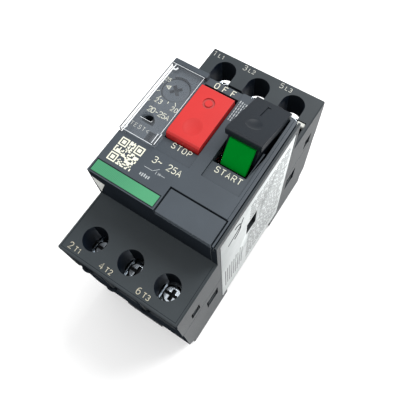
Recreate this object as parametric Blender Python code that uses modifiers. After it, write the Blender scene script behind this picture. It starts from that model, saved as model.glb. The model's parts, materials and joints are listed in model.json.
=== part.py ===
"""Motor protection breaker with START and STOP rockers, three poles.

X is the width, Y runs from the load terminals (-Y) to the line terminals (+Y),
and Z runs from the rear plane (Z = 0) to the front. Sizes are in millimetres
and are turned into metres where a mesh is made. Built with the contacts open:
the START rocker stands out and the STOP rocker lies level.
"""
import math

import bmesh
import bpy
from mathutils import Matrix, Vector

MM = 0.001

# Driving dimensions
WIDTH = 44.5
HEIGHT = 89.0
FACE_Z = 73.5            # front face of the lid
PLATE_Z = 57.5           # front face of the terminal blocks
SEAM_Z = 36.4            # top of the rear base
GAP = 0.3                # between pieces that rest on each other
POLE_PITCH = 13.6
BLOCK_Y = 44.0           # end faces of the casing, under the plates and fins
PLATE_LOW_Z = 54.3       # underside of the plates' overhanging edges
LID_Y = 22.9             # half height of the lid
RAIL_HALF = 17.8         # half of the rail channel: 35 mm rail and play
RAIL_SEAT_Z = 7.8        # where the rail's flanges rest

# Terminals
SCREW_Y = {"line": 37.4, "load": 36.3}      # distance from the middle
WELL_RADIUS = 4.1
BAY_HALF = 5.6
BAY_TOP_Z = 46.9
PAD_Z = (36.7, 37.9)
CLAMP_Z = (42.2, 43.4)
SCREW_HEAD_Z = (43.7, 46.3)
SCREW_HEAD_RADIUS = 3.3
SHANK_RADIUS = 1.85
SHANK_END_Z = 33.0

# Rockers: both turn on one pin; the START rocker is drawn pressed, then raised
PIVOT_Y = 19.5
PIVOT_Z = FACE_Z - 6.0
PIN_RADIUS = 1.0
HUB_RADIUS = 2.1
START_RAISED = math.radians(22.0)
START_X = (7.1, 18.8)
STOP_X = (-9.3, 2.3)

# Dial, flap and test slider
DIAL_AT = (-16.3, 13.7)
DIAL_RADIUS = 4.4
DIAL_TURN = math.radians(45.0)      # how its cross slot stands
PANEL_Z = FACE_Z - 0.8
FLAP_AXIS_X = -21.0
FLAP_AXIS_Z = FACE_Z + 0.1
FLAP_Z = (FACE_Z + 0.2, FACE_Z + 1.2)

# Contacts
CARRIER_Y = 12.5
STEM_X = 4.6
CONTACT_Y = (6.5, 18.5)
FOOT_Z = (22.8, 24.0)
COIL_Y = -5.5

POLES = [(k + 1, (k - 1) * POLE_PITCH) for k in range(3)]
HALF_W = WIDTH / 2

MATERIALS = {
    "casing": ((0.095, 0.105, 0.115), 0.50, 0.0),
    "lid": ((0.100, 0.115, 0.130), 0.48, 0.0),
    "black": ((0.030, 0.034, 0.040), 0.45, 0.0),
    "red": ((0.780, 0.080, 0.070), 0.40, 0.0),
    "green": ((0.010, 0.250, 0.030), 0.40, 0.0),
    "strip": ((0.060, 0.360, 0.150), 0.50, 0.0),
    "clear": ((0.800, 0.840, 0.860), 0.12, 0.0),
    "paper": ((0.820, 0.840, 0.840), 0.60, 0.0),
    "steel": ((0.560, 0.570, 0.580), 0.30, 1.0),
    "copper": ((0.720, 0.340, 0.180), 0.35, 1.0),
    "bimetal": ((0.500, 0.460, 0.400), 0.35, 1.0),
    "moulding": ((0.450, 0.400, 0.320), 0.55, 0.0),
}


def make_collections():
    for old in list(bpy.data.objects):
        bpy.data.objects.remove(old, do_unlink=True)
    made = []
    for name in ("motor_protection_breaker", "cutters"):
        collection = bpy.data.collections.new(name)
        bpy.context.scene.collection.children.link(collection)
        made.append(collection)
    return made


PARTS, CUTTERS = make_collections()


def material(name):
    found = bpy.data.materials.get(name)
    if found:
        return found
    colour, roughness, metallic = MATERIALS[name]
    made = bpy.data.materials.new(name)
    made.use_nodes = True
    shader = made.node_tree.nodes["Principled BSDF"]
    shader.inputs["Base Color"].default_value = (*colour, 1.0)
    shader.inputs["Roughness"].default_value = roughness
    shader.inputs["Metallic"].default_value = metallic
    made.diffuse_color = (*colour, 1.0)
    return made


# ---------------------------------------------------------------- shape tools
# Each tool returns a hidden cutter; finish() turns one into a piece of the object.

def add_object(name, data):
    made = bpy.data.objects.new(name, data)
    CUTTERS.objects.link(made)
    made.hide_render = True
    made.display_type = "WIRE"
    return made


def mesh_from(name, bm):
    mesh = bpy.data.meshes.new(name)
    bm.to_mesh(mesh)
    bm.free()
    return add_object(name, mesh)


def boxes(name, *spans):
    """One mesh of separate boxes, each (x0, x1, y0, y1, z0, z1)."""
    bm = bmesh.new()
    for x0, x1, y0, y1, z0, z1 in spans:
        size = Matrix.Diagonal(((x1 - x0) * MM, (y1 - y0) * MM, (z1 - z0) * MM, 1.0))
        middle = Vector(((x0 + x1) / 2, (y0 + y1) / 2, (z0 + z1) / 2)) * MM
        bmesh.ops.create_cube(bm, size=1.0, matrix=Matrix.Translation(middle) @ size)
    return mesh_from(name, bm)


def rods(name, radius, start, end, *places, sides=24, axis="Z"):
    """Round rods along an axis; places are the two other coordinates."""
    turn = {"Z": Matrix(),
            "X": Matrix.Rotation(math.pi / 2, 4, "Y"),
            "Y": Matrix.Rotation(math.pi / 2, 4, "X")}[axis]
    bm = bmesh.new()
    middle = (start + end) / 2
    for a, b in places:
        at = {"Z": (a, b, middle), "X": (middle, a, b), "Y": (a, middle, b)}[axis]
        bmesh.ops.create_cone(
            bm, cap_ends=True, segments=sides, radius1=radius * MM, radius2=radius * MM,
            depth=(end - start) * MM, matrix=Matrix.Translation(Vector(at) * MM) @ turn)
    return mesh_from(name, bm)


def profile(name, points, x0, x1):
    """A flat outline in the YZ plane, drawn out along X from x0 to x1."""
    curve = bpy.data.curves.new(name, "CURVE")
    curve.dimensions = "2D"
    curve.fill_mode = "BOTH"
    curve.extrude = (x1 - x0) / 2 * MM
    spline = curve.splines.new("POLY")
    spline.points.add(len(points) - 1)
    for point, (y, z) in zip(spline.points, points):
        point.co = (y * MM, z * MM, 0.0, 1.0)
    spline.use_cyclic_u = True
    drawn = bpy.data.objects.new(name, curve)
    CUTTERS.objects.link(drawn)
    to_world = Matrix(((0, 0, 1, (x0 + x1) / 2 * MM), (1, 0, 0, 0), (0, 1, 0, 0), (0, 0, 0, 1)))
    drawn.matrix_world = to_world
    bpy.context.view_layer.update()
    seen = drawn.evaluated_get(bpy.context.evaluated_depsgraph_get())
    mesh = bpy.data.meshes.new_from_object(seen)
    mesh.transform(to_world)
    bm = bmesh.new()
    bm.from_mesh(mesh)
    bmesh.ops.remove_doubles(bm, verts=bm.verts, dist=1e-6)
    bmesh.ops.recalc_face_normals(bm, faces=bm.faces)
    bm.to_mesh(mesh)
    bm.free()
    bpy.data.objects.remove(drawn, do_unlink=True)
    return add_object(name, mesh)


def arc(centre, radius, from_deg, to_deg, steps):
    """Points of an arc in the YZ plane, both ends included."""
    angles = [math.radians(from_deg + (to_deg - from_deg) * k / steps) for k in range(steps + 1)]
    return [(centre[0] + radius * math.cos(a), centre[1] + radius * math.sin(a)) for a in angles]


def turned(name, outline, at, sides=32):
    """A turned body on a vertical axis; the outline runs (radius, z) from top to bottom."""
    bm = bmesh.new()
    verts = [bm.verts.new((r * MM, 0.0, z * MM)) for r, z in outline]
    for a, b in zip(verts, verts[1:]):
        bm.edges.new((a, b))
    made = mesh_from(name, bm)
    screw = made.modifiers.new("turn", "SCREW")
    screw.steps = screw.render_steps = sides
    screw.use_merge_vertices = True
    screw.merge_threshold = 1e-6
    made.location = Vector((at[0], at[1], 0.0)) * MM
    return made


def coil(name, radius, wire, turns, start, end, at, axis="Z", sides=14, leads=(0.0, 0.0)):
    """A wire helix between two positions on its axis, with straight leads along +Y."""
    points = [(radius, -leads[0], start)] if leads[0] else []
    count = int(turns * sides)
    for k in range(count + 1):
        angle = 2 * math.pi * k / sides
        points.append((radius * math.cos(angle), radius * math.sin(angle), start + (end - start) * k / count))
    if leads[1]:
        points.append((radius, leads[1], end))
    curve = bpy.data.curves.new(name, "CURVE")
    curve.dimensions = "3D"
    curve.bevel_depth = wire * MM
    curve.bevel_resolution = 0
    curve.use_fill_caps = True
    spline = curve.splines.new("POLY")
    spline.points.add(len(points) - 1)
    for point, (x, y, z) in zip(spline.points, points):
        place = (x, y, z) if axis == "Z" else (x, z, y)
        point.co = (*(Vector(place) * MM), 1.0)
    made = add_object(name, curve)
    made.location = Vector(at) * MM
    return made


def boolean(target, other, operation):
    step = target.modifiers.new(operation.lower(), "BOOLEAN")
    step.object = other
    step.operation = operation
    step.solver = "EXACT"
    return target


def cut(target, *cutters):
    for cutter in cutters:
        boolean(target, cutter, "DIFFERENCE")
    return target


def join(target, *others):
    for other in others:
        boolean(target, other, "UNION")
    return target


def rounded(target, width, segments=1):
    step = target.modifiers.new("edges", "BEVEL")
    step.width = width * MM
    step.segments = segments
    step.limit_method = "ANGLE"
    step.angle_limit = math.radians(50.0)
    return target


def finish(target, name, finish_name, origin=None, smooth=False):
    """Make a shape a piece of the object, with its origin on its joint's axis."""
    CUTTERS.objects.unlink(target)
    PARTS.objects.link(target)
    target.name = name
    target.hide_render = False
    target.display_type = "TEXTURED"
    target.data.materials.append(material(finish_name))
    if origin:
        move_origin(target, origin)
    if smooth:
        target.data.shade_smooth()
        target.data.set_sharp_from_angle(angle=math.radians(35.0))
    return target


def move_origin(target, origin):
    shift = Vector(origin) * MM - target.location
    target.data.transform(Matrix.Translation(-shift))
    target.location += shift


def mirrored(spans):
    """The same boxes on both sides of the middle plane X = 0."""
    return list(spans) + [(-x1, -x0, y0, y1, z0, z1) for x0, x1, y0, y1, z0, z1 in spans]


def end_span(side, near, far):
    """A stretch of Y on the line (+Y) or load (-Y) side."""
    return (near, far) if side == "line" else (-far, -near)


def screw_y(side):
    return SCREW_Y[side] if side == "line" else -SCREW_Y[side]


# ---------------------------------------------------------------- casing

SNAP_LOW = (24.0, 30.6, 23.0, 31.7)          # y0, y1, z0, z1 of the base's snap windows
SNAP_HIGH = (34.0, 38.3, 39.9, 46.1)         # and of the main housing's
LABEL_RECESS = (21.75, HALF_W + 1, -21.3, 21.3)


def snap_windows(name, window):
    """Shallow windows on both sides, with a deep slot at each end and a dark middle."""
    y0, y1, z0, z1 = window
    slot = 0.8
    third = (z1 - z0) / 4
    shallow = []
    deep = []
    for side in (1, -1):
        inner, outer = sorted((side * y0, side * y1))
        shallow.append((HALF_W - 0.5, HALF_W + 1, inner + slot, outer - slot, z0 + 0.4, z1 - 0.4))
        deep.append((HALF_W - 1.4, HALF_W + 1, inner, inner + slot - 0.05, z0, z1))
        deep.append((HALF_W - 1.4, HALF_W + 1, outer - slot + 0.05, outer, z0, z1))
        deep.append((HALF_W - 1.4, HALF_W - 0.45, inner + slot + 0.4, outer - slot - 0.4, z0 + third, z1 - third))
    return boxes(name + "_shallow", *mirrored(shallow)), boxes(name + "_deep", *mirrored(deep))


def rear_base():
    outline = [(-BLOCK_Y, SEAM_Z), (-BLOCK_Y, 9.0), (-41.5, 5.0), (-41.5, 0.0),
               (41.5, 0.0), (41.5, 5.0), (BLOCK_Y, 9.0), (BLOCK_Y, SEAM_Z)]
    base = profile("rear_base", outline, -HALF_W, HALF_W)
    channel = boxes("rail_channel", (-24, 24, -RAIL_HALF, RAIL_HALF - 1.7, -1, RAIL_SEAT_Z))
    hook_space = boxes("hook_space", (-25, 25, 0, RAIL_HALF, 6.3, RAIL_SEAT_Z + 0.1))
    pocket = boxes("clip_pocket", (-8.3, 8.3, -45, -RAIL_HALF + 0.1, -1, 6.6))
    lug = boxes("spring_lug", (-1.7, 1.7, -37.5, -35.5, 2.2, 7.5))
    chambers = boxes("pole_chambers", *[(x - 6, x + 6, -29.5, 29.5, 10.5, 40) for _, x in POLES])
    holes = [(x, screw_y(side)) for side in SCREW_Y for _, x in POLES]
    shanks = rods("shank_holes", 2.4, 28.5, 40, *holes, sides=16)
    label = boxes("label_recess_low", (*LABEL_RECESS, 5.0, 40))
    cut(base, channel, hook_space, pocket)
    join(base, lug)
    cut(base, chambers, shanks, label, *snap_windows("snap_low", SNAP_LOW))
    return finish(base, "rear_base", "casing")


def wire_bays():
    """Six bays open at the ends, each with a shallow recess above it."""
    low, high = [], []
    for side in SCREW_Y:
        for _, x in POLES:
            low.append((x - BAY_HALF, x + BAY_HALF, *end_span(side, 30.6, 46), 36, BAY_TOP_Z))
            high.append((x - BAY_HALF, x + BAY_HALF, *end_span(side, 41.8, 46), BAY_TOP_Z - 0.1, PLATE_LOW_Z))
    slots = [(x - 4.4, x + 4.4, *end_span(side, 20, 31), 36, 38.3) for side in SCREW_Y for _, x in POLES]
    return boxes("bays_low", *low), boxes("bays_high", *high), boxes("conductor_slots", *slots)


def main_housing():
    block = boxes("main_housing", (-HALF_W, HALF_W, -BLOCK_Y, BLOCK_Y, SEAM_Z + GAP, PLATE_LOW_Z + 1))
    plates = boxes("plates", (-HALF_W, HALF_W, -HEIGHT / 2, HEIGHT / 2, PLATE_LOW_Z, PLATE_Z))
    rounded(plates, 0.4)
    walls = boxes("side_walls", (-HALF_W, -20.4, -LID_Y, LID_Y, 50, FACE_Z - 3.7),
                  (20.4, HALF_W, -LID_Y, LID_Y, 50, FACE_Z - 3.7))
    rail = boxes("right_rail", (21.5, HALF_W, -LID_Y, LID_Y, 60, FACE_Z - 0.8))
    fin_x = [(-HALF_W, -20.9), (-7.7, -5.9), (5.9, 7.7), (20.9, HALF_W)]
    fins = boxes("fins", *[(a, b, *end_span(side, BLOCK_Y - 1, HEIGHT / 2 - 0.1), SEAM_Z + GAP, PLATE_LOW_Z + 0.5)
                           for side in SCREW_Y for a, b in fin_x])
    join(block, plates, walls, rail, fins)
    core = boxes("core", (-20.4, 20.4, -20.9, 20.9, 30, 60))
    wells = rods("wells", WELL_RADIUS, BAY_TOP_Z - 1, 60,
                 *[(x, screw_y(side)) for side in SCREW_Y for _, x in POLES], sides=32)
    trench = boxes("line_trench", (-20.9, 20.9, LID_Y, 33.3, 49, 60))
    mouths = boxes("well_mouths", *[(x - WELL_RADIUS, x + WELL_RADIUS, 33.0, SCREW_Y["line"], 50, 60)
                                    for _, x in POLES])
    label = boxes("label_recess_high", (*LABEL_RECESS, 30, FACE_Z - 3.9))
    window = boxes("side_window", (20, 23, -5.6, 0.0, 42.4, 52.0))
    cut(block, core, *wire_bays(), wells, trench, mouths, label, window, *snap_windows("snap_high", SNAP_HIGH))
    return finish(block, "main_housing", "casing")


def front_cover():
    lid_bottom = FACE_Z - 3.4
    lid = boxes("front_cover", (-HALF_W, 21.2, -LID_Y, LID_Y, lid_bottom, FACE_Z))
    skirts = boxes("skirts", (-20.1, 20.1, -LID_Y, -21.4, PLATE_Z + GAP, FACE_Z - 1),
                   (-20.1, 20.1, 22.0, LID_Y, PLATE_Z + GAP, FACE_Z - 1))
    bar = boxes("top_bar", (-HALF_W, -9.6, 21.1, LID_Y, FACE_Z - 1, FACE_Z + 1))
    join(lid, skirts, bar)
    above = FACE_Z + 3
    below = lid_bottom - 1
    edge_step = boxes("edge_step", (20.2, 22, -24, 24, FACE_Z - 0.5, above))
    panels = boxes("panels", (-19.3, 2.65, -7.0, 21.1, PANEL_Z, above))
    off_panel = boxes("off_panel", (-9.6, 2.65, 21.0, 24, PANEL_Z, above))
    start_panel = boxes("start_panel", (6.75, 19.3, -7.0, 24, FACE_Z - 0.9, above))
    hinge_notch = boxes("hinge_notch", (-23, -19.2, -7.3, 21.1, FACE_Z - 1.8, above))
    stop_hole = boxes("stop_hole", (STOP_X[0] - 0.35, STOP_X[1] + 0.35, -1.9, 20.2, below, above))
    start_hole = boxes("start_hole", (START_X[0] - 0.35, START_X[1] + 0.35, 8.7, 22.25, below, above))
    flag_hole = boxes("flag_hole", (START_X[0] - 0.35, 17.95, -1.0, 9.0, below, above))
    dial_hole = rods("dial_hole", DIAL_RADIUS + 0.35, below, above, DIAL_AT, sides=32)
    test_slot = boxes("test_slot", (-14.4, -10.3, -5.9, -2.7, below, above))
    strip_recess = boxes("strip_recess", (-21.7, 1.0, -22.5, -18.2, FACE_Z - 0.5, above))
    aux_hole = boxes("aux_hole", (1.5, 20.6, -21.4, -14.4, below, above))
    aux_edge = boxes("aux_edge", (1.5, 20.6, -24, -21.3, FACE_Z - 2.7, above))
    cut(lid, edge_step, panels, off_panel, start_panel, hinge_notch, stop_hole, start_hole, flag_hole,
        dial_hole, seal_hole("seal_hole"), test_slot, strip_recess, aux_hole, aux_edge)
    return finish(lid, "front_cover", "lid")


def seal_hole(name):
    """A hole for a seal wire: round, with its -Y side cut straight."""
    return cut(rods(name, 2.1, 60, 80, (-16.9, -0.2), sides=28),
               boxes(name + "_flat", (-20, -14, -4, -0.9, 50, 90)))


def clear_cover():
    z0, z1 = FLAP_Z
    flap = boxes("clear_cover", (-22.15, -10.1, -7.0, 20.8, z0, z1))
    wall = boxes("flap_wall", (-22.15, -21.3, -7.0, 20.8, FACE_Z - 0.5, z0 + 0.1))
    barrels = join(rods("barrel_high", 0.9, 17.8, 20.8, (FLAP_AXIS_X, FLAP_AXIS_Z), sides=16, axis="Y"),
                   rods("barrel_low", 0.9, -7.0, -4.0, (FLAP_AXIS_X, FLAP_AXIS_Z), sides=16, axis="Y"))
    catch = boxes("flap_catch", (-10.9, -9.3, -6.9, -2.7, z0, z1 + 0.6))
    join(flap, wall, barrels, catch)
    cut(flap, seal_hole("flap_hole"))
    return finish(flap, "clear_cover", "clear", origin=(FLAP_AXIS_X, 6.9, FLAP_AXIS_Z))


def aux_slot_cover():
    cover = boxes("aux_slot_cover", (2.0, 20.3, -LID_Y, -14.9, FACE_Z - 2.4, FACE_Z))
    legs = boxes("aux_legs", (3.0, 4.2, -19.5, -17.0, FACE_Z - 8, FACE_Z - 1),
                 (18.0, 19.2, -19.5, -17.0, FACE_Z - 8, FACE_Z - 1))
    return finish(join(cover, legs), "aux_slot_cover", "lid")


def green_marker_strip():
    strip = boxes("green_marker_strip", (-21.4, 0.7, -22.2, -18.5, FACE_Z - 0.2, FACE_Z))
    return finish(strip, "green_marker_strip", "strip")


def rating_label():
    sheet = boxes("rating_label", (HALF_W - 0.2, HALF_W, -21.0, 21.0, 5.3, FACE_Z - 4.2))
    cut(sheet, boxes("label_window", (21, 23, -5.9, 0.3, 42.1, 52.3)))
    return finish(sheet, "rating_label", "paper")


# ---------------------------------------------------------------- rockers

def on_face(points):
    """Profile points whose second value is a height over the lid's face."""
    return [(y, FACE_Z + h) for y, h in points]


def hub(name, span):
    return rods(name, HUB_RADIUS, span[0], span[1], (PIVOT_Y, PIVOT_Z), sides=20, axis="X")


def bore(name, span):
    return rods(name, PIN_RADIUS + 0.3, span[0] - 1, span[1] + 1, (PIVOT_Y, PIVOT_Z), sides=16, axis="X")


def dish(name, at, rim, depth, top):
    """A shallow round hollow: rim is its radius where it meets a surface at height top."""
    curve = (rim * rim + depth * depth) / (2 * depth)
    bottom = FACE_Z + top - depth
    radii = [0.0, rim / 4, rim / 2, rim * 0.75, rim, rim * 1.2]
    hollow = [(r, bottom + curve - math.sqrt(curve * curve - r * r)) for r in radii]
    return turned(name, [(0, bottom + 5), (rim * 1.2, bottom + 5)] + hollow[::-1], at, sides=32)


def stop_button():
    nose = [(-0.6, 1.55), (-1.2, 1.05), (-1.5, 0.3), (-1.5, -2.0)]
    slab = on_face([(18.3, -2.0), (18.3, 1.4), (18.0, 1.7), (0.2, 1.7)] + nose)
    button = profile("stop_button", slab, *STOP_X)
    arm = on_face([(0.6, -1.5), (0.6, -6.0), (14.0, -6.0), (19.0, -7.6), (19.5, -4.2), (17.9, -3.0), (17.9, -1.5)])
    join(button, profile("stop_arm", arm, STOP_X[0] + 0.6, STOP_X[1] - 0.6), hub("stop_hub", STOP_X))
    cut(button, bore("stop_bore", STOP_X))
    hollow = dish("stop_dish", (-3.4, 4.1), 3.1, 0.35, 1.7)
    ring = turned("stop_ring", [(1.2, 3), (1.9, 3), (1.9, 1.3), (1.2, 1.3), (1.2, 3)], (-3.8, 13.3), sides=24)
    ring.location.z = FACE_Z * MM
    cut(button, hollow, ring)
    return finish(button, "stop_button", "red", origin=(sum(STOP_X) / 2, PIVOT_Y, PIVOT_Z))


def start_button():
    """The rocker is drawn in its pressed place and then turned up about the pin."""
    middle = sum(START_X) / 2
    cap = on_face([(1.6, 2.35), (1.1, 1.9), (1.05, 1.4), (1.9, -0.55), (19.7, -0.55),
                   (20.8, 0.9), (20.8, 1.7), (20.3, 2.15), (3.0, 2.4)])
    button = profile("start_button", cap, *START_X)
    arm = on_face([(3.7, -0.2), (3.3, -2.0), (3.6, -8.0), (14.0, -8.0), (19.0, -7.8), (21.2, -4.8), (19.7, -0.2)])
    join(button, profile("start_arm", arm, START_X[0] + 0.5, 17.6), hub("start_hub", START_X))
    hollow = dish("start_dish", (12.6, 8.0), 2.7, 0.45, 2.34)
    stroke = boxes("start_mark", (12.0, 12.4, 12.4, 17.9, FACE_Z + 1.8, FACE_Z + 4))
    barb = boxes("start_barb", (12.3, 13.2, 17.4, 17.8, FACE_Z + 1.75, FACE_Z + 4))
    cut(button, bore("start_bore", START_X), hollow, stroke, barb)
    pivot = (middle, PIVOT_Y, PIVOT_Z)
    finish(button, "start_button", "black", origin=pivot)
    for step in button.modifiers:
        step.object.location -= Vector(pivot) * MM
        step.object.parent = button
    button.rotation_euler.x = -START_RAISED
    return button


def start_flag():
    """A curved plate under the rocker's lip, turned up with it."""
    face = [(1.95, -1.2), (1.25, -3.6), (0.62, -6.2), (0.1, -9.0), (0.0, -10.0)]
    back = [(1.5, -10.0), (1.7, -8.6), (2.3, -5.4), (2.9, -2.6), (3.1, -1.2)]
    flag = profile("start_flag", on_face(face + back), 8.7, 17.0)
    finish(flag, "start_flag", "green", origin=(12.85, PIVOT_Y, PIVOT_Z))
    flag.rotation_euler.x = -START_RAISED
    return flag


def button_pivot_pin():
    pin = rods("button_pivot_pin", PIN_RADIUS, -10.9, 20.1, (PIVOT_Y, PIVOT_Z), sides=16, axis="X")
    return finish(pin, "button_pivot_pin", "steel", smooth=True)


def adjustment_dial():
    top = FACE_Z - 1.5
    outline = [(0, top), (DIAL_RADIUS - 0.3, top), (DIAL_RADIUS, top - 0.3), (DIAL_RADIUS, 70.2), (3.7, 70.2),
               (3.7, 68.4), (2.0, 68.4), (2.0, 60.0), (0, 60.0)]
    dial = turned("adjustment_dial", outline, DIAL_AT)
    for name, half_x, half_y in (("dial_slot", 2.0, 0.55), ("dial_cross", 0.55, 2.0)):
        arm = boxes(name, (-half_x, half_x, -half_y, half_y, top - 1.2, top + 1))
        arm.location = Vector((*DIAL_AT, 0)) * MM
        arm.rotation_euler.z = DIAL_TURN
        cut(dial, arm)
    return finish(dial, "adjustment_dial", "lid", smooth=True)


def test_slider():
    skirt = boxes("test_slider", (-15.6, -8.6, -6.4, -2.2, 68.7, 69.8))
    knob = boxes("slider_knob", (-12.9, -10.7, -5.6, -3.0, 69.0, FACE_Z - 1.0))
    finger = boxes("slider_finger", (-15.5, -14.3, -6.4, -4.4, 62.0, 69.0))
    return finish(join(skirt, knob, finger), "test_slider", "black", origin=(-11.8, -4.3, 69.25))


# ---------------------------------------------------------------- mechanism

def mechanism_frame():
    floor = boxes("mechanism_frame", (-10.6, 20.1, 0.0, 20.6, 47.3, 48.3))
    plates = boxes("frame_plates", (-10.6, -9.7, 12.0, 20.6, 47.8, 69.7), (19.3, 20.1, 12.0, 20.6, 47.8, 69.7))
    ears = boxes("frame_ears", (-10.6, -9.7, 20.5, 21.4, 60.0, 69.7), (19.3, 20.1, 20.5, 21.4, 60.0, 69.7))
    lug = boxes("lever_lug", (6.2, 7.0, 1.0, 4.2, 47.8, 57.6))
    stub = rods("lever_stub", 0.8, 2.9, 6.5, (2.5, 56.0), sides=12, axis="X")
    join(floor, plates, ears, lug, stub)
    pin_holes = rods("pin_holes", PIN_RADIUS + 0.3, -12, 21, (PIVOT_Y, PIVOT_Z), sides=16, axis="X")
    stem_hole = rods("stem_hole", 2.9, 46, 50, (STEM_X, CARRIER_Y), sides=20)
    cut(floor, pin_holes, stem_hole)
    return finish(floor, "mechanism_frame", "steel")


def latch_lever():
    outline = arc((2.5, 56.0), 2.2, 90, 270, 8) + [(4.6, 55.0), (6.0, 56.4), (12.4, 56.4)]
    outline += arc((12.0, 57.4), 1.0, -60, 90, 5)
    lever = profile("latch_lever", outline, 3.3, 5.9)
    cut(lever, rods("lever_bore", 1.1, 2, 7, (2.5, 56.0), sides=12, axis="X"))
    return finish(lever, "latch_lever", "steel", origin=(4.6, 2.5, 56.0))


def contact_carrier():
    beam = boxes("contact_carrier", (-18.2, 18.2, 8.5, 16.5, 41.0, 46.0))
    legs = boxes("carrier_legs", *[(x - 3.4, x + 3.4, 11.0, 14.0, 27.8, 42.0) for _, x in POLES])
    stem = turned("carrier_stem", [(0, 56.0), (3.9, 56.0), (3.9, 55.0), (2.4, 55.0), (2.4, 45.0), (0, 45.0)],
                  (STEM_X, CARRIER_Y), sides=20)
    join(beam, legs, stem)
    cut(beam, boxes("bridge_windows", *[(x - 2.6, x + 2.6, 10, 15, 29.0, 33.9) for _, x in POLES]))
    return finish(beam, "contact_carrier", "moulding", origin=(STEM_X, CARRIER_Y, 46.0))


def springs():
    spring = coil("carrier_spring", 3.3, 0.35, 3, 48.7, 54.6, (STEM_X, CARRIER_Y, 0))
    finish(spring, "carrier_spring", "steel")
    for number, x in POLES:
        spring = coil(f"contact_spring_{number}", 1.5, 0.28, 2, 30.9, 33.3, (x, CARRIER_Y, 0), sides=10)
        finish(spring, f"contact_spring_{number}", "steel")
    spring = coil("din_clip_spring", 1.6, 0.3, 5, -34.8, -25.0, (0, 0, 3.6), axis="Y", sides=12)
    finish(spring, "din_clip_spring", "steel")


def trip_bar():
    bar = boxes("trip_bar", (-18.4, 18.4, -20.6, -18.6, 42.0, 45.0))
    fingers = boxes("trip_fingers", *[(x - 0.8, x + 0.8, -20.4, -18.8, 38.5, 42.5) for _, x in POLES])
    reach = boxes("trip_reach", (-17.5, -15.9, -19.0, -4.8, 42.6, 44.7))
    post = boxes("trip_post", (-17.6, -15.8, -6.4, -4.4, 43.5, 66.0))
    return finish(join(bar, fingers, reach, post), "trip_bar", "moulding", origin=(0, -19.6, 43.5))


def din_clip():
    clip = boxes("din_clip", (-8.0, 8.0, -44.2, -RAIL_HALF + 1.7, 0.4, 6.2))
    window = boxes("clip_window", (-2.3, 2.3, -37.8, -24.3, -1, 8))
    slot = boxes("clip_slot", (-2.0, 2.0, -43.3, -41.6, -1, 8))
    return finish(cut(clip, window, slot), "din_clip", "black", origin=(0, -30.0, 3.3))


# ---------------------------------------------------------------- one pole

def line_conductor(number, x):
    leg = boxes("line", (x - 3.5, x + 3.5, 26.3, 27.5, FOOT_Z[0], PAD_Z[1]))
    pad = boxes("line_pad", (x - 4, x + 4, 26.6, 42.3, *PAD_Z))
    foot = boxes("line_foot", (x - 3, x + 3, 16.9, 27.0, *FOOT_Z))
    tip = rods("line_tip", 1.5, FOOT_Z[1] - 0.4, FOOT_Z[1] + 1, (x, CONTACT_Y[1]), sides=14)
    join(leg, pad, foot, tip)
    cut(leg, rods("line_hole", 2.3, 35, 39, (x, screw_y("line")), sides=16))
    return finish(leg, f"line_conductor_{number}", "copper")


def fixed_contact(number, x):
    foot = boxes("fixed", (x - 3, x + 3, 2.5, 9.3, *FOOT_Z))
    post = boxes("fixed_post", (x - 2.6, x + 2.6, 2.6, 3.7, 10.8, 23.4))
    tip = rods("fixed_tip", 1.5, FOOT_Z[1] - 0.4, FOOT_Z[1] + 1, (x, CONTACT_Y[0]), sides=14)
    return finish(join(foot, post, tip), f"fixed_contact_{number}", "copper")


def load_conductor(number, x):
    leg = boxes("load", (x - 3.5, x + 3.5, -27.4, -26.2, 10.8, PAD_Z[1]))
    pad = boxes("load_pad", (x - 4, x + 4, -42.3, -26.5, *PAD_Z))
    foot = boxes("load_foot", (x - 3, x + 3, -27.0, -18.9, 10.9, 12.1))
    join(leg, pad, foot)
    cut(leg, rods("load_hole", 2.3, 35, 39, (x, screw_y("load")), sides=16))
    return finish(leg, f"load_conductor_{number}", "copper")


def moving_contact(number, x):
    bridge = boxes("bridge", (x - 2.2, x + 2.2, 4.8, 20.2, 29.3, 30.3))
    tips = rods("bridge_tips", 1.3, 28.6, 29.6, *[(x, y) for y in CONTACT_Y], sides=14)
    return finish(join(bridge, tips), f"moving_contact_{number}", "copper", origin=(x, CARRIER_Y, 29.8))


def arc_chute(number, x):
    sides = boxes("chute", (x - 5.4, x - 4.9, 20.8, 25.6, 25.2, 35.2), (x + 4.9, x + 5.4, 20.8, 25.6, 25.2, 35.2))
    plates = boxes("chute_plates", *[(x - 5.1, x + 5.1, 21.0, 25.4, z, z + 0.8)
                                     for z in (25.6, 27.6, 29.6, 31.6, 33.6)])
    return finish(join(sides, plates), f"arc_chute_{number}", "steel")


def trip_coil(number, x):
    wound = coil("trip_coil", 3.4, 0.5, 6, 14.0, 26.0, (x, COIL_Y, 0), sides=14, leads=(8.0, 7.4))
    return finish(wound, f"trip_coil_{number}", "copper")


def bimetal(number, x):
    strip = boxes("strip", (x - 2.2, x + 2.2, -18.2, -17.4, 12.6, 40.6))
    foot = boxes("strip_foot", (x - 2.2, x + 2.2, -17.6, -14.2, 12.7, 13.6))
    return finish(join(strip, foot), f"bimetal_{number}", "bimetal")


# ---------------------------------------------------------------- terminals

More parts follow.
